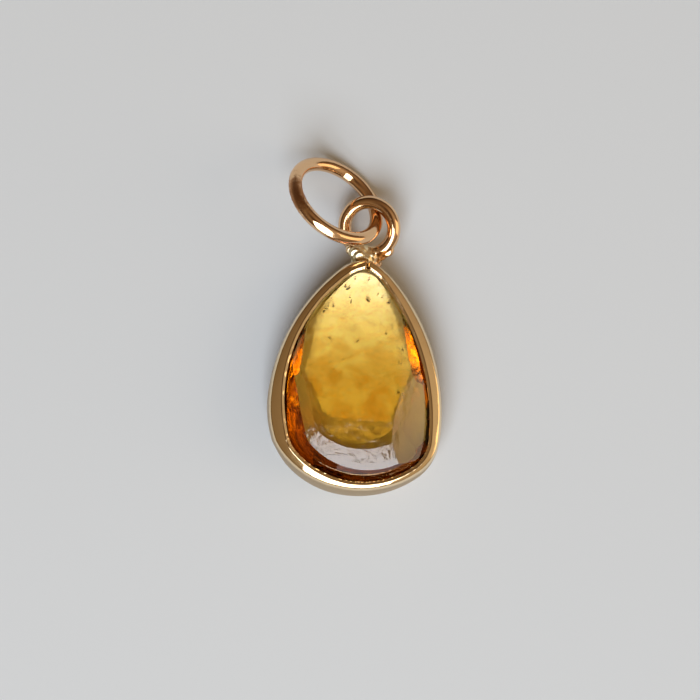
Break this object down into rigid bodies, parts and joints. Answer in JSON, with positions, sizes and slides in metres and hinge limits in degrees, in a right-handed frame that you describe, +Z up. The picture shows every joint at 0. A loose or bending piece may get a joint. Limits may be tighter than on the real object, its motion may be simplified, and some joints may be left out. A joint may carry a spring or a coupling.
{
  "type": "gemstone charm",
  "caption": "Pear-like free-form golden stone in a rubbed-over gold setting with an open back, a soldered loop at the point and a jump ring.",
  "frame": {"origin": "middle of the charm's footprint, on the surface that it lies on", "axes": "+Z up from the back through the stone's table, +Y along the charm towards the jump ring, +X across it"},
  "size_m": [0.0096, 0.0188, 0.0048],
  "materials": {
    "setting_gold": "polished yellow gold, lightly worn",
    "golden_sapphire": "polished transparent golden-yellow stone",
    "ring_gold": "polished warm gold wire, lightly worn"
  },
  "bodies": {
    "root": {"setting": "setting_gold", "stone": "golden_sapphire", "jump_ring": "ring_gold"}
  },
  "joints": []
}
